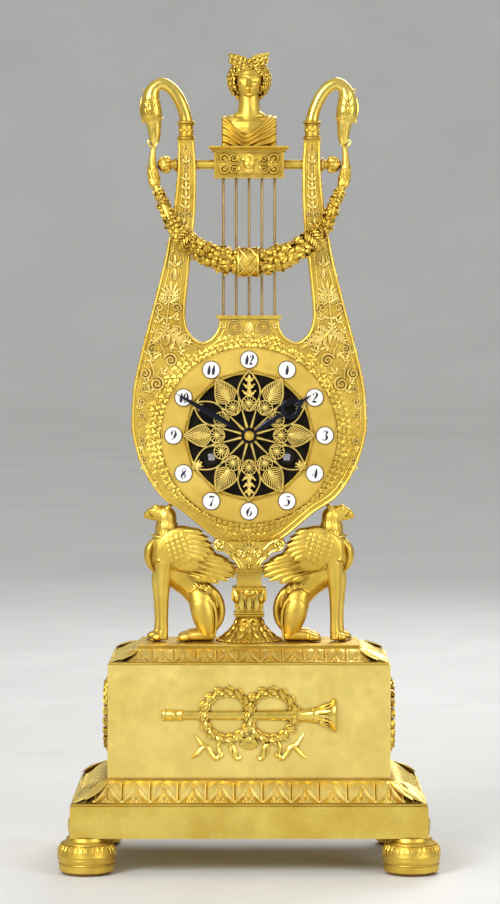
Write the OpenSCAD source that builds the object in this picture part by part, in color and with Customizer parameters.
// Lyre clock in gilt bronze: plinth on bun feet, two griffins, lyre case with a round movement,
// bust and garland.
// Millimetres, +Z up, front towards -Y, origin on the floor under the centre of the plinth.

/* [Base] */
// Width of the bottom slab
slab_w = 236; // [210:1:270]
// Depth of the bottom slab
slab_d = 146; // [125:1:175]
// Height of the bottom slab
slab_h = 21; // [16:0.5:30]
// Wall of the hollow base castings
base_wall = 4; // [3:0.5:5]
// Greatest radius of a bun foot
foot_r = 19.5; // [17:0.5:21]
// Height of a bun foot
foot_h = 24.2; // [20:0.2:32]
// Distance of a foot's axis from the slab's two edges
foot_inset = 10.8; // [10:0.2:14]
// Height of the lower leaf moulding
low_mould_h = 15; // [10:0.5:20]
// Width of the plinth box
box_w = 188.4; // [170:0.2:204]
// Depth of the plinth box
box_d = 98; // [86:0.5:108]
// Height of the plinth box
box_h = 75.8; // [60:0.2:95]
// Height of the upper leaf moulding
top_mould_h = 10; // [7:0.5:14]
// Width of the terrace plate
terrace_w = 148; // [142:1:160]
// Depth of the terrace plate
terrace_d = 58; // [52:1:70]
// Thickness of the terrace plate
terrace_t = 1.6; // [1.2:0.1:3]

/* [Pedestal] */
// Height of the flared pedestal foot
ped_foot_h = 17; // [13:0.5:21]
// Radius of the flared pedestal foot at the terrace
ped_foot_r = 22.8; // [20:0.2:24]
// Height of the leaf cup with its collar
ped_cup_h = 20.3; // [16:0.1:24]
// Width of the square block above the leaf cup
ped_block_w = 16.8; // [14:0.2:18]
// Height of the square block above the leaf cup
ped_block_h = 9; // [6:0.5:13]
// Height of the scroll bracket, from the block to the lyre's lowest point
bracket_h = 17.6; // [15:0.2:20]
// Radius of the tie rod
rod_r = 3; // [2.5:0.1:4]

/* [Lyre] */
// Greatest half-width of the lyre body
lyre_half = 79.4; // [74:0.2:86]
// Depth of the lyre body
lyre_depth = 24; // [20:0.5:28]
// Depth of the arms at their tops
arm_depth = 12; // [11:0.5:16]
// Height of the arm tops above the dial centre
arm_top = 200; // [194:1:210]
// Height of the cross bar above the dial centre
bar_up = 183.4; // [178:0.2:187]
// Radius of the cross bar
bar_r = 3.2; // [2.6:0.1:4]
// Radius of one string
string_r = 0.8; // [0.6:0.1:1.2]
// Distance between strings
string_gap = 8.7; // [7:0.1:9]
// Half-width of the block under the bust
block_half = 23.6; // [21:0.1:27]
// Height of the block under the bust
block_h = 18.6; // [16:0.2:24]
// Depth of the block under the bust
block_d = 24; // [20:0.5:28]
// Height of the cornice on the block
cornice_h = 2.6; // [2:0.1:5]

/* [Dial] */
// Outer radius of the dial ring
dial_r = 59; // [57:0.5:62]
// Radius of the pierced dial centre
pierced_r = 41.5; // [39:0.5:44]
// Radius of the circle of hour cartouches
hour_circle_r = 51.2; // [50:0.1:52]
// Radius of one hour cartouche
cartouche_r = 5.9; // [5:0.1:6.5]
// Length of the minute hand from the centre
minute_len = 57.5; // [50:0.5:58.5]
// Length of the hour hand from the centre
hour_len = 50; // [42:0.5:55]
// Width of a winding square across its flats
square_w = 4.3; // [3.6:0.1:5]

/* [Movement] */
// Radius of the movement plates
plate_r = 47.5; // [47:0.1:48.5]
// Thickness of the movement plates
plate_t = 2; // [1.5:0.1:2.5]
// Space between the movement plates
plate_gap = 20; // [19:0.5:23]
// Wall of the movement drum
drum_wall = 1.5; // [1:0.1:2.5]
// Length of the drum behind the lyre
drum_len = 42; // [40:0.5:48]
// Pendulum length from its pivot to the centre of the bob
pendulum_l = 110; // [104:1:116]
// Radius of the pendulum bob
bob_r = 14; // [11:0.5:16]
// Radius of the bell
bell_r = 31; // [27:0.5:32]

/* [Hidden] */
$fn = 48;
run_gap = 0.05;

// Heights of the stack, from the floor up
slab_z = foot_h;
low_mould_z = slab_z + slab_h;
box_z = low_mould_z + low_mould_h;
top_mould_z = box_z + box_h;
terrace_z = top_mould_z + top_mould_h;
ped_z = terrace_z + terrace_t;
cup_z = ped_z + ped_foot_h;
block_z0 = cup_z + ped_cup_h;
bracket_z = block_z0 + ped_block_h;
lyre_z = bracket_z + bracket_h;
lyre_drop = 76;
dial_z = lyre_z + lyre_drop;
foot_x = slab_w / 2 - foot_inset;
foot_y = slab_d / 2 - foot_inset;

// Depths, from the lyre's front face backwards
front = -lyre_depth / 2;
back = lyre_depth / 2;
ring_t = 1.5;
fret_t = 0.8;
lip_t = 3;
backing_t = 0.6;
motion_space = 8;
plate_y = front + lip_t + motion_space;
train_y = plate_y + plate_t;
rear_plate_y = train_y + plate_gap;
rear_y = rear_plate_y + plate_t;
arm_y = front + arm_depth / 2;
drum_end = back + drum_len;
bore_r = plate_r + 3;
drum_r = bore_r + 0.5 + drum_wall;

// Shared fastener sizes
stud_r = 3;
stud_in = 9;
boss_r = 8;
screw_r = 1.5;
screw_head_r = 2.8;
screw_head_h = 1.8;
nut_h = 5;
nut_af = 10;
nut_z = low_mould_z - base_wall - nut_h;
rod_in = 14;

// Steps between the mouldings and what they carry
slab_ledge = 1.2;
box_ledge = 2.8;
fillet_h = 1.6;

// Lyre outline, right half, from the bottom centre to the arm top, about the dial centre
arm_out = 48.2;
arm_in = 37.2;
neck_half = 20.2;
neck_top = 78.8;
outer_side = [[0, -lyre_drop], [12, -74.4], [24, -69], [43.6, -52.6], [60.4, -40.6], [73, -20],
    [lyre_half - 0.6, 0], [lyre_half, 13], [lyre_half - 1.6, 34], [lyre_half - 7.7, 61], [63.6, 92],
    [55.9, 124], [50.3, 158], [48.4, 180], [arm_out, arm_top]];
inner_side = [[arm_in, arm_top], [36, 180], [36.2, 158], [37.6, 138], [40.6, 112], [43.2, 86], [42.6, 75],
    [39, 67.4], [32.4, 63], [25.2, 66], [21.2, 72], [neck_half, neck_top]];

// Train: tooth counts and modules, with the going side on the right
wind_r = 29.3;
wind_a = 30;
barrel_n = 76;
barrel_m = 0.45;
second_pin_n = 12;
second_n = 72;
second_m = 0.4;
centre_pin_n = 10;
centre_n = 90;
centre_m = 0.32;
third_pin_n = 9;
third_n = 90;
third_m = 0.27;
escape_pin_n = 9;
escape_n = 54;
escape_r = 9.5;
cannon_n = 14;
minute_n = 42;
motion_m = 0.5;
minute_pin_n = 12;
hour_n = 48;
motion_d = (cannon_n + minute_n) * motion_m / 2;
hour_m = 2 * motion_d / (minute_pin_n + hour_n);
escape_up = 26;
pivot_up = 40;
strike_d = 23.5;
wheel_t = 1.4;
pivot_r = 1;
arbor_r = 1.3;
wind_arbor_r = 2.4;

centre_p = [0, 0];
going_p = [wind_r * cos(wind_a), -wind_r * sin(wind_a)];
strike_p = [-going_p[0], going_p[1]];
second_p = meet(centre_p, spacing(second_n, centre_pin_n, second_m), going_p,
    spacing(barrel_n, second_pin_n, barrel_m), 1);
escape_p = [0, escape_up];
pivot_p = [0, pivot_up];
third_p = meet(centre_p, spacing(centre_n, third_pin_n, centre_m), escape_p,
    spacing(third_n, escape_pin_n, third_m), 1);
strike2_p = meet(centre_p, strike_d, strike_p, spacing(barrel_n, second_pin_n, barrel_m), -1);
minute_p = [0, motion_d];
hammer_p = [-38, 16];

// Depths inside the movement
barrel_y = train_y + 3.5;
barrel_h = 10;
barrel_r = 15.5;
great_y = barrel_y + barrel_h;
second_y = great_y + wheel_t + 1.6;
centre_y = train_y + 1;
third_y = train_y + 8;
escape_y = train_y + 14;
motion_y = plate_y - 0.5 - wheel_t;
hour_y = motion_y - 0.6 - wheel_t;
hour_hand_y = front - ring_t - fret_t - 2.7;
minute_hand_y = hour_hand_y - 2;
hand_t = 0.8;
collet_h = 2.5;
crutch_y = rear_y + 0.6;
crutch_t = 1.2;
pendulum_y = rear_y + 4;
cock_y = pendulum_y + 2;
bell_y = rear_y + 10;
bell_h = 17;
bell_wall = 1.4;

// Rest angles of the hands, clockwise from twelve
minute_at = 300;
hour_at = 57;

gilt = "goldenrod";
brass = "darkkhaki";
steel = "slategray";
enamel = "whitesmoke";

// Geometry helpers
function xyz(q) = [q[0], q[1], q[2]];
function unit(v) = v / norm(v);
function polar(r, a) = [r * cos(a), r * sin(a)];
function spacing(n1, n2, m) = (n1 + n2) * m / 2;
function direction(p, q) = atan2(q[1] - p[1], q[0] - p[0]);
function meet(p, rp, q, rq, side) =
    let (d = norm(q - p), a = (rp * rp - rq * rq + d * d) / (2 * d), u = (q - p) / d)
    p + a * u + side * sqrt(rp * rp - a * a) * [-u[1], u[0]];
function curve_at(a, b, c, d, t) = 0.5 * (2 * b + (c - a) * t + (2 * a - 5 * b + 4 * c - d) * t * t
    + (3 * b - a - 3 * c + d) * t * t * t);
function smooth(p, k) = concat([for (i = [0:len(p) - 2], j = [0:k - 1])
    curve_at(p[max(i - 1, 0)], p[i], p[i + 1], p[min(i + 2, len(p) - 1)], j / k)], [p[len(p) - 1]]);
function mirrored(p) = [for (i = [len(p) - 1:-1:0]) [-p[i][0], p[i][1]]];

// A flat outline given across X and Z, cut out from y0 backwards by t
module flat_y(y0, t) {
    translate([0, y0 + t, 0])
        rotate([90, 0, 0])
            linear_extrude(t)
                children();
}

// The same, about the dial centre
module dial_flat(y0, t) {
    translate([0, 0, dial_z])
        flat_y(y0, t)
            children();
}

// A round bar along Y at p, about the dial centre
module rod_y(p, r, y0, y1) {
    translate([p[0], y1, dial_z + p[1]])
        rotate([90, 0, 0])
            cylinder(r = r, h = y1 - y0);
}

// A round bar along X from x0 to x1
module rod_x(r, x0, x1, y, z) {
    translate([x0, y, z])
        rotate([0, 90, 0])
            cylinder(r = r, h = x1 - x0);
}

// A turned profile [radius, height] on the Z axis
module turned(profile) {
    rotate_extrude()
        polygon(profile);
}

// A frame with mitred corners: each profile point is [inset from the outer edge, height]
module mitred_frame(w, d, profile) {
    n = len(profile);
    corners = [[-1, -1], [1, -1], [1, 1], [-1, 1]];
    points = [for (p = profile, c = corners) [c[0] * (w / 2 - p[0]), c[1] * (d / 2 - p[0]), p[1]]];
    faces = [for (i = [0:n - 1], j = [0:3])
        let (a = i * 4 + j, b = i * 4 + (j + 1) % 4,
            c = ((i + 1) % n) * 4 + (j + 1) % 4, e = ((i + 1) % n) * 4 + j)
        [a, e, c, b]];
    polyhedron(points, faces);
}

// A solid stack of squares: each profile point is [half-width, height]
module square_stack(profile) {
    n = len(profile);
    corners = [[-1, -1], [1, -1], [1, 1], [-1, 1]];
    points = [for (p = profile, c = corners) [c[0] * p[0], c[1] * p[0], p[1]]];
    sides = [for (i = [0:n - 2], j = [0:3])
        [i * 4 + j, (i + 1) * 4 + j, (i + 1) * 4 + (j + 1) % 4, i * 4 + (j + 1) % 4]];
    polyhedron(points, concat(sides, [[0, 1, 2, 3], [for (j = [3:-1:0]) (n - 1) * 4 + j]]));
}

// A modelled limb: stations [x, y, z, radius across, radius along Y] joined by a smooth skin,
// knobbly by bump
function knob(i, j, sides, bump) = 1 + bump * sin(110 * i) * sin(1080 * j / sides + 75 * i);
module limb(stations, sides = 10, steps = 2, bump = 0) {
    s = smooth(stations, steps);
    m = len(s);
    points = [for (i = [0:m - 1])
        let (t = unit(xyz(s[min(i + 1, m - 1)]) - xyz(s[max(i - 1, 0)])),
            u = unit(cross(t, [0, 1, 0])), v = cross(u, t))
        for (j = [0:sides - 1])
            xyz(s[i]) + knob(i, j, sides, bump) * (s[i][3] * cos(360 * j / sides) * u
                + s[i][4] * sin(360 * j / sides) * v)];
    skin = [for (i = [0:m - 2], j = [0:sides - 1])
        let (a = i * sides + j, b = i * sides + (j + 1) % sides)
        each [[a, b, b + sides], [a, b + sides, a + sides]]];
    ends = [[for (j = [sides - 1:-1:0]) j], [for (j = [0:sides - 1]) (m - 1) * sides + j]];
    polyhedron(points, concat(skin, ends));
}

// A short tapered form between two round ends [x, y, z, radius]
module taper(a, b, sides = 8) {
    hull() {
        translate(xyz(a))
            sphere(r = a[3], $fn = sides);
        translate(xyz(b))
            sphere(r = b[3], $fn = sides);
    }
}

// Clock gears: straight-flanked teeth with open backlash
function tooth_root(n) = n < 16 ? 0.95 : 1.15;
function gear_outline(n, m, phase) = let (q = 90 / n, ra = n * m / 2 + 0.8 * m, rf = n * m / 2 - 1.15 * m)
    [for (i = [0:n - 1]) let (a = phase + i * 360 / n) each [polar(rf, a - tooth_root(n) * q),
        polar(ra, a - 0.5 * q), polar(ra, a + 0.5 * q), polar(rf, a + tooth_root(n) * q)]];
// Phase that puts gear b in mesh with gear a, which lies at angle th from b's partner
function mesh_phase(na, phase_a, th, nb) = th + 180 - (0.5 - (th - phase_a) * na / 360) * 360 / nb;

module gear(p, n, m, phase, y0, t) {
    dial_flat(y0, t)
        translate(p)
            polygon(gear_outline(n, m, phase));
}

// Wheel rim with round lightening holes
module crossed_gear(p, n, m, phase, y0, t, hub) {
    rim = n * m / 2 - 1.15 * m - 1.2;
    hole = (rim - hub) / 2 * 0.8;
    difference() {
        gear(p, n, m, phase, y0, t);
        for (i = [0:4])
            rod_y(p + polar((rim + hub) / 2, i * 72), hole, y0 - 1, y0 + t + 1);
    }
}

// Arbor with a thinner pivot at each end, running in both plates
module arbor(p, r, y0, y1) {
    rod_y(p, r, y0, y1);
    rod_y(p, pivot_r, plate_y, rear_y);
}

// Base

module bun_foot() {
    difference() {
        turned([[0, 0], [15.6 / 19.5 * foot_r, 0], [0.94 * foot_r, 0.1 * foot_h], [0.95 * foot_r, 0.26 * foot_h],
            [0.93 * foot_r, 0.28 * foot_h], [0.98 * foot_r, 0.38 * foot_h], [foot_r, 0.52 * foot_h],
            [0.97 * foot_r, 0.66 * foot_h], [0.88 * foot_r, 0.8 * foot_h], [0.72 * foot_r, 0.92 * foot_h],
            [0.68 * foot_r, foot_h], [0, foot_h]]);
        translate([0, 0, foot_h - stud_in])
            cylinder(r = stud_r + run_gap, h = stud_in + 1);
    }
}

module at_feet() {
    for (sx = [-1, 1], sy = [-1, 1])
        translate([sx * foot_x, sy * foot_y, 0])
            children();
}

module bun_feet() {
    color(gilt)
        at_feet()
            bun_foot();
}

module foot_studs() {
    color(steel)
        at_feet()
            translate([0, 0, foot_h - stud_in])
                cylinder(r = stud_r, h = 2 * stud_in);
}

module plinth_slab() {
    color(gilt)
        translate([0, 0, slab_z])
            difference() {
                union() {
                    difference() {
                        translate([-slab_w / 2, -slab_d / 2, 0])
                            cube([slab_w, slab_d, slab_h]);
                        translate([base_wall - slab_w / 2, base_wall - slab_d / 2, -1])
                            cube([slab_w - 2 * base_wall, slab_d - 2 * base_wall, slab_h - base_wall + 1]);
                    }
                    at_feet()
                        cylinder(r = boss_r, h = slab_h - base_wall / 2);
                }
                at_feet()
                    translate([0, 0, -1])
                        cylinder(r = stud_r + run_gap, h = stud_in + 1);
                cylinder(r = rod_r + run_gap, h = slab_h + 1);
            }
}

// Leaf moulding: ogee slope from the lower outline to the upper one, hollow behind
function ogee(run, h) = [for (i = [0:8]) let (t = i / 8)
    [run * t, fillet_h + (h - 2 * fillet_h) * (t - 0.09 * sin(360 * t))]];

module leaf_moulding(w, d, h, run, shelf) {
    mitred_frame(w, d, concat([[0, 0]], ogee(run, h), [[run, h], [run + shelf, h], [run + shelf, h - fillet_h],
        [run + base_wall, h - fillet_h - 2], [base_wall, 0]]));
}

module lower_leaf_moulding() {
    w = slab_w - 2 * slab_ledge;
    run = (w - box_w) / 2 - box_ledge;
    color(gilt)
        translate([0, 0, low_mould_z])
            leaf_moulding(w, box_d + w - box_w, low_mould_h, run, box_ledge + base_wall);
}

module plinth_box() {
    color(gilt)
        translate([0, 0, box_z])
            difference() {
                translate([-box_w / 2, -box_d / 2, 0])
                    cube([box_w, box_d, box_h]);
                translate([base_wall - box_w / 2, base_wall - box_d / 2, -1])
                    cube([box_w - 2 * base_wall, box_d - 2 * base_wall, box_h + 2]);
            }
}

module upper_leaf_moulding() {
    w = box_w - 2 * slab_ledge;
    run = (w - terrace_w) / 2 - slab_ledge;
    color(gilt)
        translate([0, 0, top_mould_z])
            leaf_moulding(w, terrace_d + w - terrace_w, top_mould_h, run, slab_ledge + base_wall);
}

// Griffin screw places on the terrace, for the right-hand griffin
griffin_screw_x = [29, 60];

module at_griffin_screws() {
    for (sx = [-1, 1], x = griffin_screw_x, sy = [-1, 1])
        translate([sx * x, sy * griffin_leg_y(x), terrace_z])
            children();
}
function griffin_leg_y(x) = x > 45 ? 7 : 9;

module terrace_plate() {
    color(gilt)
        difference() {
            translate([-terrace_w / 2, -terrace_d / 2, terrace_z])
                cube([terrace_w, terrace_d, terrace_t]);
            at_griffin_screws()
                translate([0, 0, -1])
                    cylinder(r = screw_r + run_gap, h = terrace_t + 2);
            translate([0, 0, terrace_z - 1])
                cylinder(r = rod_r + run_gap, h = terrace_t + 2);
        }
}

module griffin_screws() {
    color(steel)
        at_griffin_screws() {
            cylinder(r = screw_r, h = terrace_t);
            translate([0, 0, -screw_head_h])
                cylinder(r = screw_head_r, h = screw_head_h);
        }
}

// Wreath of laurel leaves round a thin stem, lying on the plane y = 0 and standing out towards -Y
module laurel_ring(r, leaves, leaf_l, leaf_r) {
    for (i = [0:leaves - 1], side = [-1, 1]) {
        a = i * 360 / leaves;
        p = polar(r, a);
        q = polar(r + side * leaf_l * 0.32, a + 180 * leaf_l / (PI * r));
        taper([p[0], -1.2, p[1], leaf_r * 0.8], [q[0], -1.6, q[1], leaf_r * 0.5], 4);
    }
}

trumpet_half = 57.5;
trumpet_tube_r = 2.6;
trumpet_bell_r = 11.4;
trumpet_bell_l = 17;
wreath_r = 15.4;
wreath_x = 14.6;
bow_z = -17;
knot_r = 3.6;

module trophy_form() {
    rotate([0, 90, 0])
        rotate_extrude($fn = 20)
            polygon([[0, -trumpet_half], [3.2, -trumpet_half], [1.8, 3 - trumpet_half],
                [trumpet_tube_r, 8 - trumpet_half], [trumpet_tube_r, trumpet_half - trumpet_bell_l],
                [4.4, trumpet_half - 0.55 * trumpet_bell_l], [7, trumpet_half - 0.25 * trumpet_bell_l],
                [trumpet_bell_r, trumpet_half], [0, trumpet_half]]);
    for (sx = [-1, 1])
        translate([sx * wreath_x, 0, 0])
            laurel_ring(wreath_r, 9, 9.6, 3.4);
    translate([0, -2, bow_z])
        rotate([17, 23, 31])
            sphere(r = knot_r, $fn = 8);
    // The bow's two sides differ a little in height, as tied ribbon does
    for (sx = [-1, 1]) {
        lift = bow_z + 0.35 * sx;
        limb([[sx * 1.9, -2.1, lift + 1.5, 1, 1], [sx * 8.6, -1.9, lift + 3.2, 1.8, 1.2],
            [sx * 15, -2, lift, 2.4, 1.2], [sx * 8.4, -2.3, lift - 3.9, 2.2, 1.2],
            [sx * 2.1, -1.8, lift - 1.7, 1, 1]], 6);
        limb([[sx * 1.5, -1.3, lift - 1.9, 1.1, 0.9], [sx * 9, -1.5, lift - 8.3, 2.3, 1],
            [sx * 19, -1.6, lift - 5.5, 2.4, 1], [sx * 28, -1.6, lift - 10, 2.2, 1],
            [sx * 37.5, -1.6, lift - 5, 1.6, 0.8]], 6);
    }
}

module trumpet_trophy() {
    color(gilt)
        translate([0, -box_d / 2, box_z + 0.56 * box_h])
            intersection() {
                trophy_form();
                translate([-2 * trumpet_half, -4 * trumpet_bell_r, -2 * trumpet_half])
                    cube([4 * trumpet_half, 4 * trumpet_bell_r, 4 * trumpet_half]);
            }
}

side_wreath_r = 21;

module side_mounts() {
    color(gilt)
        for (sx = [-1, 1])
            translate([sx * box_w / 2, 0, box_z + box_h / 2])
                rotate([0, 0, sx * 90])
                    intersection() {
                        union() {
                            laurel_ring(side_wreath_r, 9, 9.6, 3.4);
                            rotate([90, 0, 0])
                                rotate_extrude($fn = 27)
                                    translate([side_wreath_r, 0])
                                        circle(r = 1.6, $fn = 6);
                        }
                        translate([-50, -10, -50])
                            cube([100, 10, 100]);
                    }
}

// Griffins: seated, facing left, standing on z = 0, mirrored for the right

module paw(x, y, reach) {
    for (dy = [-2.6, 0, 2.6])
        taper([x, y + dy * 0.6, 3.2, 3.2], [x - reach + abs(dy) * 0.4, y + dy, 1.9, 1.9], 6);
}

module griffin_wing(s) {
    limb([[-61, s * 8, 56, 4, 2], [-55, s * 11, 60.5, 12.5, 3.2], [-46.5, s * 12.4, 62.6, 16, 3.4],
        [-37, s * 12.8, 59.6, 14.8, 3.2], [-27.4, s * 12.8, 53, 9.6, 2.6], [-17.5, s * 12.4, 48.8, 7.4, 2.2],
        [-10.4, s * 12, 47.4, 2, 1]], 8);
}

module griffin_leg(s) {
    limb([[-57, s * 5.5, 54, 8, 4.5], [-59, s * 6.6, 42, 6.6, 4.8], [-59.5, s * 7, 29, 4.8, 4.4],
        [-59.4, s * 7, 16, 4.0, 3.9], [-59.6, s * 7, 7, 4.3, 4.2], [-60, s * 7, -1, 4.6, 4.4]], 8);
    paw(-61, s * 7, 5.6);
}

module griffin_haunch(s) {
    limb([[-37, s * 6, 35, 4, 3], [-33, s * 8.4, 28.5, 8.6, 5], [-30.6, s * 9.2, 18.5, 8.8, 5.6],
        [-28.4, s * 9.2, 9, 7, 5], [-27, s * 9, -1, 4.4, 4]], 8);
    limb([[-23.5, s * 9, 4, 3.4, 3.4], [-32, s * 9, 4.2, 4.2, 4.2], [-41, s * 9, 3.6, 3.8, 4.2]], 6);
    paw(-41, s * 9, 6.4);
}

module griffin_form() {
    limb([[-24, 0, 20, 5, 5], [-29, 0, 25, 9, 8.6], [-37.6, 0, 37.4, 10.8, 10], [-48, 0, 48.6, 13.8, 10.8],
        [-56.4, 0, 58, 13.6, 10], [-59.6, 0, 64.6, 9, 7.8]], 10);
    limb([[-56.4, 0, 55, 11.6, 9.4], [-58.8, 0, 64, 10, 8.8], [-58.2, 0, 70.4, 9.3, 8.2], [-57.6, 0, 73, 6, 5.8],
        [-57.4, 0, 79, 5.5, 5.6], [-58.4, 0, 85, 6.4, 6.2], [-58.8, 0, 89.2, 5, 4.6], [-59, 0, 91.4, 2, 2]], 10);
    limb([[-54.8, 0, 86.4, 3.6, 4], [-60, 0, 87, 5.6, 5.6], [-64.6, 0, 87.4, 4.6, 4.6], [-68, 0, 87, 3.2, 3],
        [-70.4, 0, 85.4, 2, 1.8], [-71.2, 0, 82.6, 0.6, 0.6]], 8);
    for (s = [-1, 1]) {
        taper([-57.5, s * 3.4, 89.5, 2.2], [-53.4, s * 5, 93, 0.7]);
        griffin_wing(s);
        griffin_leg(s);
        griffin_haunch(s);
    }
    limb([[-24, 0, 8, 2.6, 3.4], [-19.6, 0, 15, 2.8, 3.2], [-19, 0, 24, 2.6, 2.8], [-22.4, 0, 32, 2.4, 2.6],
        [-28.5, 0, 37, 2.4, 2.6], [-35, 0, 37.6, 2.6, 5]], 6);
}

module griffin(turn) {
    translate([0, 0, ped_z])
        mirror([turn, 0, 0])
            intersection() {
                griffin_form();
                translate([-100, -50, 0])
                    cube([100, 100, 120]);
            }
}

module griffin_left() {
    color(gilt)
        griffin(0);
}

module griffin_right() {
    color(gilt)
        griffin(1);
}

// Pedestal and tie rod

module rod_hole(z0, z1) {
    translate([0, 0, z0 - 1])
        cylinder(r = rod_r + run_gap, h = z1 - z0 + 2);
}

module pedestal_foot() {
    top_r = ped_block_w / 2 + 0.6;
    color(gilt)
        difference() {
            translate([0, 0, ped_z])
                turned(concat([[0, 0]], [for (i = [0:8]) let (t = i / 8)
                    [top_r + (ped_foot_r - top_r) * pow(1 - t, 2.2), t * ped_foot_h]], [[0, ped_foot_h]]));
            rod_hole(ped_z, cup_z);
        }
}

module pedestal_cup() {
    w = ped_block_w / 2;
    collar = 2.8;
    color(gilt)
        difference() {
            translate([0, 0, cup_z])
                square_stack([[w + 1.1, 0], [w + 1.1, collar], [w + 0.3, collar + 0.3], [w + 0.2, ped_cup_h * 0.5],
                    [w + 0.9, ped_cup_h * 0.75], [w + 3, ped_cup_h - 1.6], [w + 3, ped_cup_h - 0.6],
                    [w, ped_cup_h], [w, ped_cup_h + ped_block_h]]);
            rod_hole(cup_z, bracket_z);
        }
}

module tie_rod() {
    color(steel)
        translate([0, 0, nut_z - 2])
            cylinder(r = rod_r, h = lyre_z + rod_in - nut_z + 2);
}

module tie_nut() {
    color(steel)
        translate([0, 0, nut_z])
            difference() {
                cylinder(r = nut_af / 2 / cos(30), h = nut_h, $fn = 6);
                translate([0, 0, -1])
                    cylinder(r = rod_r + run_gap, h = nut_h + 2);
            }
}

// Scroll bracket: a spreading stem under the lyre with a scrolled front overlapping its lower rim
bracket_reach = 24.2;
bracket_front = 5;
volute_r = 4.4;

module bracket_outline() {
    w = ped_block_w / 2;
    polygon(concat([[-w - 0.4, 0], [w + 0.4, 0], [w + 0.4, 4], [w - 1.6, 5]],
        [for (i = [1:6]) let (t = i / 6)
            [w - 1.6 + (bracket_reach - w + 1.6) * pow(t, 1.4), 5 + 17 * pow(t, 0.8)]],
        [for (i = [6:-1:1]) let (t = i / 6)
            [-w + 1.6 - (bracket_reach - w + 1.6) * pow(t, 1.4), 5 + 17 * pow(t, 0.8)]],
        [[1.6 - w, 5], [-w - 0.4, 4]]));
}

module scroll_bracket() {
    depth = lyre_depth - 4;
    color(gilt)
        difference() {
            union() {
                translate([0, 0, bracket_z]) {
                    flat_y(-depth / 2, depth)
                        bracket_outline();
                    flat_y(front - bracket_front, bracket_front) {
                        bracket_outline();
                        for (sx = [-1, 1])
                            translate([sx * (bracket_reach - volute_r), bracket_h + 2.4])
                                circle(r = volute_r);
                    }
                    translate([-ped_block_w / 2, front - bracket_front, 5])
                        cube([ped_block_w, lyre_depth / 2, bracket_h - 8]);
                }
            }
            lyre_solid();
            rod_hole(bracket_z, lyre_z);
        }
}

// Lyre

module lyre_outline() {
    outer = smooth(outer_side, 4);
    inner = smooth(inner_side, 4);
    half = concat(outer, inner);
    polygon(concat(half, mirrored(half)));
}

// Side view of the lyre: full depth round the dial, thinner towards the arm tops
module lyre_side() {
    polygon([[front, -lyre_drop - 1], [back, -lyre_drop - 1], [back, 56], [back - 2, 72],
        [front + arm_depth + 3, 120], [front + arm_depth, arm_top + 1], [front, arm_top + 1]]);
}

module lyre_solid() {
    intersection() {
        dial_flat(front, lyre_depth)
            lyre_outline();
        translate([-lyre_half - 10, 0, dial_z])
            rotate([90, 0, 90])
                linear_extrude(2 * lyre_half + 20)
                    lyre_side();
    }
}

module lyre_frame() {
    color(gilt)
        difference() {
            lyre_solid();
            rod_y(centre_p, pierced_r, front - 1, back + 1);
            rod_y(centre_p, bore_r, front + lip_t, back + 1);
            for (sx = [-1, 1])
                rod_x(bar_r + run_gap, sx > 0 ? arm_in - 4 : -arm_out - 8, sx > 0 ? arm_out + 8 : 4 - arm_in,
                    arm_y, dial_z + bar_up);
            rod_hole(lyre_z, lyre_z + rod_in - 1);
        }
}

bridge_h = 2.4;
bridge_half = neck_half + 1.9;
string_in = 1.2;
string_y = front + 8;

module at_strings(z) {
    for (i = [-2:2])
        translate([i * string_gap, string_y, z])
            children();
}

module string_bridge() {
    color(gilt)
        difference() {
            translate([-bridge_half, front - 2, dial_z + neck_top])
                cube([2 * bridge_half, lyre_depth - 4, bridge_h]);
            at_strings(dial_z + neck_top + bridge_h - string_in)
                cylinder(r = string_r + run_gap, h = string_in + 1);
        }
}

block_z = dial_z + bar_up - block_h / 2;
cornice_out = 3.4;

module lyre_strings() {
    z0 = dial_z + neck_top + bridge_h - string_in;
    color(brass)
        at_strings(z0)
            cylinder(r = string_r, h = block_z + string_in - z0);
}

module cross_bar() {
    color(gilt)
        rod_x(bar_r, -arm_out - 5, arm_out + 5, arm_y, dial_z + bar_up);
}

finial_l = 13.8;
finial_r = 5.8;

module bar_finials() {
    color(gilt)
        for (sx = [-1, 1])
            translate([sx * (arm_out + 0.8), arm_y, dial_z + bar_up])
                rotate([0, sx * 90, 0])
                    difference() {
                        turned([[0, 0], [finial_r * 0.86, 0], [finial_r * 0.9, 1.6], [finial_r * 0.68, 2.4],
                            [finial_r * 0.86, finial_l * 0.28], [finial_r, finial_l * 0.5],
                            [finial_r * 0.94, finial_l * 0.68], [finial_r * 0.66, finial_l * 0.86],
                            [finial_r * 0.3, finial_l * 0.96], [0, finial_l]]);
                        translate([0, 0, -1])
                            cylinder(r = bar_r + run_gap, h = 5.2);
                    }
}

module bust_block() {
    color(gilt)
        difference() {
            union() {
                translate([-block_half, arm_y - block_d / 2, block_z])
                    cube([2 * block_half, block_d, block_h]);
                translate([0, arm_y, block_z + block_h])
                    mitred_cap(2 * (block_half + cornice_out), block_d + 2 * cornice_out, cornice_h, 2.2);
            }
            rod_x(bar_r + run_gap, -block_half - 1, block_half + 1, arm_y, dial_z + bar_up);
            at_strings(block_z - 1)
                cylinder(r = string_r + run_gap, h = string_in + 1);
        }
}

// A flat cap that spreads upwards to its full size
module mitred_cap(w, d, h, spread) {
    polyhedron([for (p = [[spread, 0], [0, h * 0.6], [0, h]], c = [[-1, -1], [1, -1], [1, 1], [-1, 1]])
        [c[0] * (w / 2 - p[0]), c[1] * (d / 2 - p[0]), p[1]]],
        concat([[0, 1, 2, 3], [11, 10, 9, 8]], [for (i = [0, 1], j = [0:3])
            [i * 4 + j, i * 4 + 4 + j, i * 4 + 4 + (j + 1) % 4, i * 4 + (j + 1) % 4]]));
}

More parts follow.
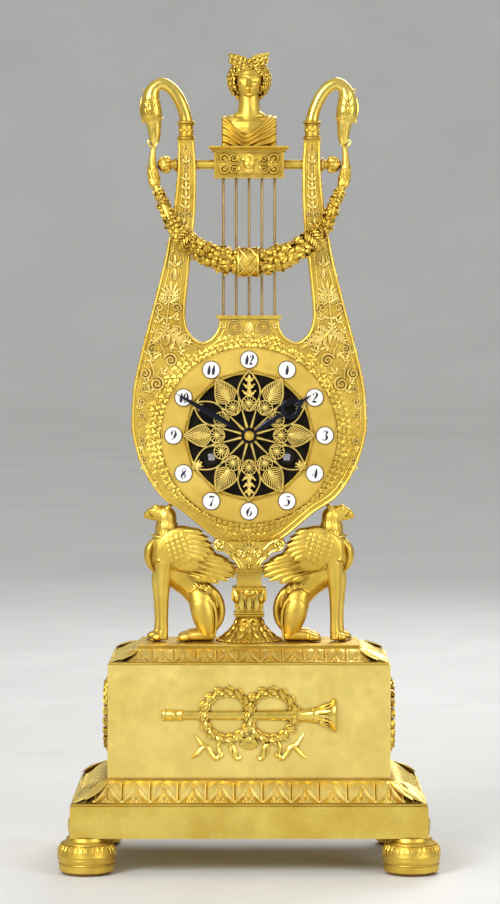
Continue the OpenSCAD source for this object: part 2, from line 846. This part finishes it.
// Bust with draped shoulders, curled hair and a top knot; the face is a plain smooth oval

module curl(x, y, z, r) {
    taper([x, y, z, r], [x * 1.12, y, z - r * 0.7, r * 0.7]);
}

module bust_form() {
    limb([[0, 0.5, -1, 17.6, 8.6], [0, 0.5, 7, 18.4, 9.6], [0, 0.5, 14, 19, 10.6], [0, 0.6, 19, 18.6, 10.4],
        [0, 0.8, 22.6, 15, 9], [0, 1, 25, 9.4, 8], [0, 1, 28, 7.6, 7.6], [0, 0.5, 33, 7.4, 7.8]], 14);
    limb([[0, -0.6, 29.6, 3, 3.4], [0, -0.6, 32, 6.4, 8], [0, 0, 37, 9, 11], [0, 0.6, 43, 10.4, 12.2],
        [0, 1, 49, 10.6, 12.6], [0, 1.4, 55, 8.6, 10.6], [0, 1.6, 59.4, 3.4, 4.4]], 12);
    limb([[0, 4, 33, 7, 6], [0, 4.4, 38, 12, 9.4], [0, 3.6, 45, 14.2, 11.6], [0, 2.6, 51, 13.8, 12.4],
        [0, 2, 57, 10.6, 11], [0, 1.6, 61.4, 5, 6]], 12);
    for (sx = [-1, 1]) {
        curl(sx * 11.6, -6, 46.5, 3.2);
        curl(sx * 12.6, -2.5, 41, 3.2);
        curl(sx * 9.6, -8.8, 51.4, 3.2);
        curl(sx * 5.2, -10.4, 54.4, 3.2);
        taper([sx * 2, -2, 60, 4], [sx * 8.6, -1.5, 61.4, 3.6]);
        taper([sx * 16.4, -5, 18, 3], [sx * 3, -10, 3, 2.6]);
    }
}

module bust() {
    color(gilt)
        translate([0, arm_y, block_z + block_h + cornice_h])
            intersection() {
                bust_form();
                translate([-40, -40, 0])
                    cube([80, 80, 90]);
            }
}

// Arm collars and swan heads
collar_h = 13;
collar_r = 5.1;
collar_x = (arm_in + arm_out) / 2;
swan_z = dial_z + arm_top + collar_h;

module arm_collars() {
    color(gilt)
        for (sx = [-1, 1])
            translate([sx * collar_x, arm_y, dial_z + arm_top])
                turned([[0, 0], [collar_r + 0.7, 0], [collar_r + 0.7, 2.4], [collar_r, 3],
                    [collar_r - 0.2, collar_h - 3.4], [collar_r + 0.5, collar_h - 2.8], [collar_r + 0.5, collar_h],
                    [0, collar_h]]);
}

module swan_form() {
    limb([[0, 0, -1, 4.5, 4.5], [0.5, 0, 3, 4.3, 4.3], [1.6, 0, 7, 4.2, 4.2], [4.5, 0, 14.2, 4.2, 4.2],
        [8.4, 0, 20.2, 4.1, 4.1], [12.8, 0, 24, 4.1, 4.1], [17.2, 0, 25.2, 4.2, 4.2], [21.4, 0, 22.4, 4.6, 4.5],
        [23.6, 0, 17.4, 5.6, 5.2], [23.9, 0, 11.8, 6.7, 5.8], [23.2, 0, 4.6, 7.1, 5.6], [21.9, 0, -1.2, 5.6, 4.6],
        [21.3, 0, -6, 4.6, 3.6], [21.2, 0, -11.6, 3.6, 2.8], [21.4, 0, -15.6, 2.4, 2],
        [22.1, 0, -17.6, 0.9, 0.9]], 12);
    for (i = [0:3], s = [-1, 1])
        taper([28 - 0.5 * i, s * 2, 16 - 3.4 * i, 2], [29.6 - 0.5 * i, s * 2.6, 13.8 - 3.4 * i, 1], 6);
}

module swan_head(turn) {
    translate([0, arm_y, 0])
        mirror([turn, 0, 0])
            translate([collar_x, 0, swan_z])
                difference() {
                    swan_form();
                    translate([-8, -10, -10])
                        cube([16, 20, 10]);
                }
}

module swan_head_left() {
    color(gilt)
        swan_head(1);
}

module swan_head_right() {
    color(gilt)
        swan_head(0);
}

// Garland: hangs from the beaks and swings forward over the arms
garland_y = front - 8.6;

// Stations from the right beak to the middle, about the right collar's top
function garland_at() = [for (q = [[22.1, arm_y, -18, 1.6, 1.6], [22.8, arm_y - 1, -26, 2.4, 2.2],
    [22.4, arm_y - 3, -35, 3.3, 2.9], [20.6, arm_y - 6, -43.2, 3.8, 3.3], [17.4, garland_y + 6.1, -51, 4.4, 3.8],
    [14, garland_y + 3.2, -59, 5, 4.3], [10.6, garland_y + 1.6, -67, 5.5, 4.8],
    [4.6, garland_y + 0.6, -76.6, 6.6, 5.4],
    [-4.5, garland_y, -84.4, 7.6, 6], [-14.6, garland_y, -90.3, 8.5, 6.4], [-27, garland_y, -94.6, 9, 6.6],
    [-collar_x, garland_y, -96, 9.2, 6.6]]) q + [collar_x, 0, swan_z, 0, 0]];

module garland() {
    right = garland_at();
    left = [for (i = [len(right) - 2:-1:0])
        [-right[i][0], right[i][1], right[i][2], right[i][3], right[i][4]]];
    color(gilt)
        limb(concat(right, left), 12, 4, 0.13);
}

// Dial and hands

module dial_ring() {
    color(gilt)
        difference() {
            rod_y(centre_p, dial_r, front - ring_t, front);
            rod_y(centre_p, pierced_r, front - ring_t - 1, front + 1);
        }
}

module at_hours(r) {
    for (i = [0:11])
        rotate(90 - 30 * i)
            translate([r, 0])
                children();
}

hub_r = 5.6;
petal_in = 16;
petal_out = 44.6;
petal_half = 6.3;
rosette_at = 21.6;
rosette_r = 5.1;
bar_w = 1;

// Almond outline from petal_in to petal_out, on the X axis
module almond(grow) {
    l = (petal_out - petal_in) / 2;
    r = (l * l + petal_half * petal_half) / (2 * petal_half);
    translate([(petal_in + petal_out) / 2, 0])
        intersection() {
            translate([0, r - petal_half])
                circle(r = r + grow);
            translate([0, petal_half - r])
                circle(r = r + grow);
        }
}

module dial_fretwork() {
    color(gilt)
        dial_flat(front - ring_t - fret_t, fret_t) {
            difference() {
                circle(r = hub_r + 2);
                circle(r = hub_r);
            }
            at_hours(0) {
                difference() {
                    union() {
                        almond(0);
                        translate([hub_r + 1, -bar_w / 2])
                            square([rosette_at - hub_r - 1, bar_w]);
                        translate([rosette_at, 0])
                            circle(r = rosette_r);
                    }
                    almond(-bar_w);
                    translate([rosette_at, 0])
                        circle(r = rosette_r - bar_w);
                }
            }
        }
}

module hour_cartouches() {
    color(enamel)
        for (i = [0:11])
            rod_y(polar(hour_circle_r, 30 * i), cartouche_r, front - ring_t - 1.2, front - ring_t);
}

module dial_backing() {
    color(steel)
        difference() {
            rod_y(centre_p, pierced_r + 2.6, front + lip_t, front + lip_t + backing_t);
            rod_y(centre_p, 5, front, plate_y);
            for (p = [going_p, strike_p])
                rod_y(p, square_w, front, plate_y);
        }
}

// Hands are drawn pointing right and turned to their rest angles

module hand_at(angle, y0) {
    dial_flat(y0, hand_t)
        rotate(90 - angle)
            children();
}

module minute_hand() {
    color(steel)
        hand_at(minute_at, minute_hand_y)
            difference() {
                union() {
                    circle(r = 4.6);
                    polygon([[0, -1.9], [12, -1.5], [minute_len * 0.62, -0.9], [minute_len * 0.72, -2],
                        [minute_len * 0.84, -1], [minute_len, 0], [minute_len * 0.84, 1], [minute_len * 0.72, 2],
                        [minute_len * 0.62, 0.9], [12, 1.5], [0, 1.9]]);
                }
                circle(r = pipe_r);
            }
}

module hour_hand() {
    color(steel)
        hand_at(hour_at, hour_hand_y)
            difference() {
                union() {
                    circle(r = 5.2);
                    polygon([[0, -2.2], [14, -1.7], [hour_len * 0.52, -1.4], [hour_len * 0.64, -4.6],
                        [hour_len * 0.76, -3.6], [hour_len * 0.86, -1.2], [hour_len, 0], [hour_len * 0.86, 1.2],
                        [hour_len * 0.76, 3.6], [hour_len * 0.64, 4.6], [hour_len * 0.52, 1.4],
                        [14, 1.7], [0, 2.2]]);
                }
                circle(r = hour_pipe_r);
                translate([hour_len * 0.67, 0])
                    circle(r = 2.2);
            }
}

pipe_r = 2;
hour_pipe_in = pipe_r + run_gap;
hour_pipe_r = 3.2;

module hand_collet() {
    color(brass)
        difference() {
            translate([0, minute_hand_y, dial_z])
                rotate([90, 0, 0])
                    turned([[0, 0], [3.4, 0], [3.2, 1.2], [2, 2.2], [0, collet_h]]);
            rod_y(centre_p, arbor_r + run_gap, minute_hand_y - 1.4, minute_hand_y + 1);
        }
}

// Drum and rear door
hinge_x = drum_r + 3;
hinge_r = 2.6;
hinge_pin_r = 1.2;
hinge_half = 12;
door_t = 2;
hinge_y = drum_end;

module knuckle(z0, z1) {
    translate([-hinge_x, hinge_y, dial_z + z0])
        cylinder(r = hinge_r, h = z1 - z0);
}

module hinge_bore() {
    translate([-hinge_x, hinge_y, dial_z - hinge_half - 1])
        cylinder(r = hinge_pin_r + run_gap, h = 2 * hinge_half + 2);
}

module movement_drum() {
    slot = 8;
    color(brass)
        difference() {
            union() {
                rod_y(centre_p, drum_r, back, drum_end);
                for (s = [-1, 1]) {
                    z0 = s > 0 ? 4.3 : -hinge_half;
                    z1 = s > 0 ? hinge_half : -4.3;
                    knuckle(z0, z1);
                    translate([-hinge_x, drum_end - 6, dial_z + z0])
                        cube([hinge_r * 2, 6, z1 - z0]);
                }
            }
            rod_y(centre_p, drum_r - drum_wall, back - 1, drum_end + 1);
            hinge_bore();
            translate([-slot, pendulum_y - 6, dial_z - drum_r - 1])
                cube([2 * slot, drum_end - pendulum_y + 7, 20]);
        }
}

module rear_door() {
    color(brass)
        difference() {
            union() {
                difference() {
                    rod_y(centre_p, drum_r, drum_end + 0.3, drum_end + 0.3 + door_t);
                    translate([-hinge_x - 10, drum_end - 1, dial_z - hinge_half - 0.3])
                        cube([10 + hinge_r + 0.4, door_t + 4, 2 * hinge_half + 0.6]);
                }
                knuckle(-4, 4);
                translate([-hinge_x, drum_end + 0.3, dial_z - 4])
                    cube([8, door_t, 8]);
                rod_y([drum_r - 7, 0], 2, drum_end + 0.3, drum_end + door_t + 7);
                rod_y([drum_r - 7, 0], 4, drum_end + door_t + 4, drum_end + door_t + 8);
            }
            hinge_bore();
        }
}

module door_hinge_pin() {
    color(steel)
        translate([-hinge_x, hinge_y, dial_z - hinge_half])
            cylinder(r = hinge_pin_r, h = 2 * hinge_half);
}

// Movement plates
pillar_at = [55, 125, 250, 290];
pillar_d = 42;
dial_foot_r = 1.3;
dial_foot_d = plate_r - dial_foot_r - 0.6;

module pivot_holes(y0, y1, centre_r) {
    for (p = [second_p, third_p, escape_p, pivot_p, strike2_p, hammer_p])
        rod_y(p, pivot_r + run_gap, y0, y1);
    for (p = [going_p, strike_p])
        rod_y(p, wind_arbor_r + run_gap, y0, y1);
    rod_y(centre_p, centre_r + run_gap, y0, y1);
}

module front_plate() {
    color(brass)
        difference() {
            union() {
                rod_y(centre_p, plate_r, plate_y, train_y);
                for (a = [20, 160, 270])
                    rod_y(polar(dial_foot_d, a), dial_foot_r, front + lip_t, plate_y + 1);
                rod_y(minute_p, pivot_r, hour_y - 0.4, plate_y + 1);
            }
            pivot_holes(plate_y - 1, train_y + 1, arbor_r);
        }
}

module back_plate() {
    color(brass)
        difference() {
            union() {
                rod_y(centre_p, plate_r, rear_plate_y, rear_y);
                translate([-3, rear_plate_y, dial_z + pivot_up + 2.6])
                    cube([6, cock_y + plate_t - rear_plate_y, 3.6]);
                translate([-3, cock_y, dial_z + pivot_up - 2.6])
                    cube([6, plate_t, 8.8]);
                rod_y([-20, 22], 2, rear_plate_y, bell_y);
                hull() {
                    rod_y([-20, 22], 2, bell_y - 2, bell_y);
                    rod_y(centre_p, 2, bell_y - 2, bell_y);
                }
                rod_y(centre_p, 1.6, bell_y - 2, bell_y + bell_h);
            }
            pivot_holes(rear_plate_y - 1, rear_y + 1, pivot_r);
            rod_y(pivot_p, pivot_r + run_gap, cock_y - 1, cock_y + plate_t + 1);
        }
}

module plate_pillars() {
    color(brass)
        for (a = pillar_at)
            rod_y(polar(pillar_d, a), 2.5, train_y, rear_plate_y);
}

// Motion work

module cannon_pinion() {
    color(brass)
        difference() {
            union() {
                gear(centre_p, cannon_n, motion_m, 0, motion_y, wheel_t);
                rod_y(centre_p, pipe_r, minute_hand_y, motion_y + wheel_t);
            }
            rod_y(centre_p, arbor_r + run_gap, minute_hand_y - 1, plate_y);
        }
}

module minute_wheel() {
    color(brass)
        difference() {
            union() {
                gear(minute_p, minute_n, motion_m, mesh_phase(cannon_n, 0, 90, minute_n), motion_y, wheel_t);
                gear(minute_p, minute_pin_n, hour_m, 0, hour_y, motion_y - hour_y + 0.1);
            }
            rod_y(minute_p, pivot_r + run_gap, hour_y - 1, plate_y);
        }
}

module hour_wheel() {
    color(brass)
        difference() {
            union() {
                gear(centre_p, hour_n, hour_m, mesh_phase(minute_pin_n, 0, -90, hour_n), hour_y, wheel_t);
                rod_y(centre_p, hour_pipe_r, hour_hand_y, hour_y + wheel_t);
            }
            rod_y(centre_p, hour_pipe_in, hour_hand_y - 1, plate_y);
        }
}

// Barrels, mainsprings and winding arbors, alike on the going and strike sides

module barrel(p, wheel_p) {
    phase = mesh_phase(second_pin_n, 0, direction(wheel_p, p), barrel_n);
    difference() {
        union() {
            rod_y(p, barrel_r, barrel_y, great_y + 0.2);
            gear(p, barrel_n, barrel_m, phase, great_y, wheel_t);
        }
        rod_y(p, barrel_r - 1, barrel_y - 1, great_y - 1);
        rod_y(p, wind_arbor_r + run_gap, barrel_y - 1, great_y + wheel_t + 1);
    }
}

spring_turns = 7;
spring_in = 5;
spring_out = barrel_r - 1.2;
spring_t = 0.5;

function spiral(shift) = [for (i = [0:12 * spring_turns])
    polar(spring_in + shift + (spring_out - spring_t - spring_in) * i / (12 * spring_turns), 30 * i)];

module mainspring(p) {
    dial_flat(barrel_y + 0.6, barrel_h - 2)
        translate(p)
            polygon(concat(spiral(0), [for (i = [12 * spring_turns:-1:0]) spiral(spring_t)[i]]));
}

module winding_arbor(p) {
    rod_y(p, wind_arbor_r, plate_y - 4, rear_y + 2);
    rod_y(p, 5.6, plate_y - 1.8, plate_y - 0.3);
    translate([p[0], plate_y - 3.9, dial_z + p[1]])
        rotate([90, 0, 0])
            translate([-square_w / 2, -square_w / 2, 0])
                cube([square_w, square_w, plate_y - 3.9 - front + ring_t]);
}

module going_barrel() {
    color(brass)
        barrel(going_p, second_p);
}

module going_mainspring() {
    color(steel)
        mainspring(going_p);
}

module going_winding_arbor() {
    color(steel)
        winding_arbor(going_p);
}

module strike_barrel() {
    color(brass)
        barrel(strike_p, strike2_p);
}

module strike_mainspring() {
    color(steel)
        mainspring(strike_p);
}

module strike_winding_arbor() {
    color(steel)
        winding_arbor(strike_p);
}

// Going train

module going_second_wheel() {
    phase = mesh_phase(centre_pin_n, 0, direction(centre_p, second_p), second_n);
    color(brass) {
        crossed_gear(second_p, second_n, second_m, phase, second_y, wheel_t, 3);
        gear(second_p, second_pin_n, barrel_m, 0, great_y - 0.2, wheel_t + 0.8);
        arbor(second_p, arbor_r, train_y + 0.4, rear_plate_y - 0.4);
    }
}

module centre_wheel() {
    color(brass) {
        crossed_gear(centre_p, centre_n, centre_m, 0, centre_y, wheel_t, 3);
        gear(centre_p, centre_pin_n, second_m, 0, second_y - 0.2, wheel_t + 0.4);
        arbor(centre_p, arbor_r, minute_hand_y - 1.2, rear_plate_y - 0.4);
    }
}

module third_wheel() {
    phase = mesh_phase(centre_n, 0, direction(centre_p, third_p), third_pin_n);
    color(brass) {
        crossed_gear(third_p, third_n, third_m, 0, third_y, wheel_t, 3);
        gear(third_p, third_pin_n, centre_m, phase, centre_y - 0.2, wheel_t + 0.4);
        rod_y(third_p, pivot_r, plate_y, rear_y);
    }
}

module escape_wheel() {
    phase = mesh_phase(third_n, 0, direction(third_p, escape_p), escape_pin_n);
    color(brass) {
        dial_flat(escape_y, 1)
            translate(escape_p)
                polygon([for (i = [0:escape_n - 1]) let (a = i * 360 / escape_n)
                    each [polar(escape_r - 1.2, a), polar(escape_r, a + 180 / escape_n)]]);
        gear(escape_p, escape_pin_n, third_m, phase, third_y - 0.2, wheel_t + 0.4);
        rod_y(escape_p, 0.8, train_y, rear_plate_y);
        rod_y(escape_p, pivot_r, plate_y, train_y);
        rod_y(escape_p, pivot_r, rear_plate_y, rear_y);
    }
}

module anchor() {
    r = escape_r + 0.9;
    fork = [1.7, pivot_up - 30];
    color(steel) {
        dial_flat(escape_y - 0.5, 2) {
            intersection() {
                translate(escape_p)
                    difference() {
                        circle(r = r + 2);
                        circle(r = r);
                    }
                polygon([escape_p, escape_p + [-20, 13], escape_p + [20, 13]]);
            }
            translate([-1.5, escape_up + r + 0.5])
                square([3, pivot_up - escape_up - r - 0.5]);
        }
        rod_y(pivot_p, pivot_r, plate_y, crutch_y + crutch_t);
        dial_flat(crutch_y, crutch_t) {
            translate([-1.2, fork[1]])
                square([2.4, pivot_up - fork[1]]);
            translate([-2.4, fork[1] - 1])
                square([4.8, 2]);
        }
        for (s = [-1, 1])
            rod_y([s * fork[0], fork[1]], 0.5, crutch_y + 0.5, pendulum_y + 1.5);
    }
}

module pendulum() {
    rod = 0.9;
    bob_t = 7;
    bob_z = pivot_up - pendulum_l;
    color(brass) {
        rod_y(pivot_p, pivot_r, pendulum_y - 0.5, cock_y + plate_t + 0.5);
        rod_y(pivot_p, 2, pendulum_y - 1, pendulum_y + 1);
        translate([0, pendulum_y, dial_z + bob_z - bob_r - 5])
            cylinder(r = rod, h = pendulum_l + bob_r + 5);
        translate([0, pendulum_y, dial_z + bob_z])
            rotate([90, 0, 0])
                turned([[0, -bob_t / 2], [bob_r * 0.6, -bob_t * 0.36], [bob_r, -0.6], [bob_r, 0.6],
                    [bob_r * 0.6, bob_t * 0.36], [0, bob_t / 2]]);
        translate([0, pendulum_y, dial_z + bob_z - bob_r - 4])
            cylinder(r = 3, h = 2.4);
    }
}

// Strike wheel, with the count wheel on its arbor behind the back plate, hammer and bell

module strike_wheel() {
    count_r = 12;
    color(brass) {
        crossed_gear(strike2_p, second_n, second_m, 0, second_y, wheel_t, 3);
        gear(strike2_p, second_pin_n, barrel_m, 0, great_y - 0.2, wheel_t + 0.8);
        rod_y(strike2_p, arbor_r, train_y + 0.4, rear_plate_y - 0.4);
        rod_y(strike2_p, pivot_r, plate_y, rear_y + 2);
        dial_flat(rear_y + 0.6, 1)
            translate(strike2_p)
                difference() {
                    circle(r = count_r);
                    for (i = [0:11])
                        rotate(2 * i * (i + 3))
                            translate([count_r - 1.6, -0.6])
                                square([3, 1.2]);
                }
        for (i = [0:9])
            rod_y(strike2_p + polar(12.6, i * 36), 0.4, second_y + 1, second_y + wheel_t + 1);
    }
}

module hammer() {
    head = [-36.4, -4];
    arm_at = bell_y + 3;
    color(steel) {
        rod_y(hammer_p, pivot_r, plate_y, arm_at + 2);
        dial_flat(arm_at, 2)
            polygon([hammer_p + [-1.6, 1.6], hammer_p + [1.6, 1.6], head + [1, 0], head + [-1, 0]]);
        rod_y(head, 3, arm_at - 2, arm_at + 4);
    }
}

module bell() {
    color(brass)
        translate([0, bell_y + bell_h, dial_z])
            rotate([90, 0, 0])
                turned([[1.6 + run_gap, 0], [bell_r * 0.45, 0.6], [bell_r * 0.75, 4],
                    [bell_r * 0.92, 10], [bell_r, bell_h],
                    [bell_r - bell_wall, bell_h], [bell_r * 0.92 - bell_wall, 10 + bell_wall / 2],
                    [bell_r * 0.75 - bell_wall, 4 + bell_wall], [bell_r * 0.45, 0.6 + bell_wall],
                    [1.6 + run_gap, bell_wall]]);
}

bun_feet();
foot_studs();
plinth_slab();
lower_leaf_moulding();
plinth_box();
trumpet_trophy();
side_mounts();
upper_leaf_moulding();
terrace_plate();
griffin_left();
griffin_right();
griffin_screws();
pedestal_foot();
pedestal_cup();
tie_rod();
tie_nut();
scroll_bracket();
lyre_frame();
string_bridge();
lyre_strings();
cross_bar();
bar_finials();
bust_block();
bust();
swan_head_left();
swan_head_right();
arm_collars();
garland();
dial_ring();
dial_fretwork();
hour_cartouches();
dial_backing();
minute_hand();
hour_hand();
hand_collet();
movement_drum();
rear_door();
door_hinge_pin();
front_plate();
back_plate();
plate_pillars();
cannon_pinion();
minute_wheel();
hour_wheel();
going_barrel();
going_mainspring();
going_winding_arbor();
going_second_wheel();
centre_wheel();
third_wheel();
escape_wheel();
anchor();
pendulum();
strike_barrel();
strike_mainspring();
strike_winding_arbor();
strike_wheel();
hammer();
bell();
